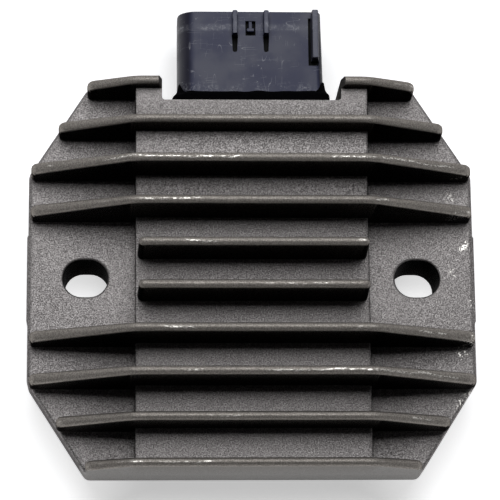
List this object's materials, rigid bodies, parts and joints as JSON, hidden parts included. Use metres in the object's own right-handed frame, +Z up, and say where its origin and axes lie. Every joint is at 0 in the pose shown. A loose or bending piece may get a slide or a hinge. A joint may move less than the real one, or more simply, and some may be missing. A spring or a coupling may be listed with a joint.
{
  "type": "voltage regulator rectifier",
  "caption": "Finned die-cast regulator rectifier with slotted mounting ears, a potted back and a moulded plug socket in its end wall.",
  "frame": {"origin": "under the middle of the whole part's box, on the plane of the ears' feet", "axes": "+Z up through the fins, +Y along the part to the socket's mouth, +X across the fins' length to the side of the socket's key"},
  "size_m": [0.1006, 0.1054, 0.0306],
  "materials": {
    "cast_aluminium": "dark grained die casting, semi-matt, rubbed bright on the fins' upper edges",
    "black_plastic": "moulded, satin, lightly scuffed",
    "black_resin": "cured black resin, satin",
    "tinned_brass": "tin plated",
    "copper": "bright copper",
    "ceramic": "unglazed, pale",
    "yellow_resin": "moulded, satin",
    "bare_aluminium": "drawn can, bright"
  },
  "bodies": {
    "root": {"heat_sink_housing": "cast_aluminium", "socket_housing": "black_plastic", "socket_sealant": "black_resin", "potting_compound": "black_resin", "terminal_phase_a": "tinned_brass", "terminal_phase_b": "tinned_brass", "terminal_phase_c": "tinned_brass", "terminal_battery": "tinned_brass", "terminal_sense": "tinned_brass", "terminal_ground": "tinned_brass", "power_board": "ceramic", "diode_a": "black_resin", "diode_b": "black_resin", "diode_c": "black_resin", "thyristor_a": "black_resin", "thyristor_b": "black_resin", "thyristor_c": "black_resin", "phase_clip_a": "copper", "phase_clip_b": "copper", "phase_clip_c": "copper", "battery_bus": "copper", "ground_bus": "copper", "gate_resistor_a": "ceramic", "gate_resistor_b": "ceramic", "gate_resistor_c": "ceramic", "sense_resistor_a": "ceramic", "sense_resistor_b": "ceramic", "control_chip": "black_resin", "zener_diode": "black_resin", "timing_capacitor": "yellow_resin", "filter_capacitor": "bare_aluminium"}
  },
  "joints": []
}
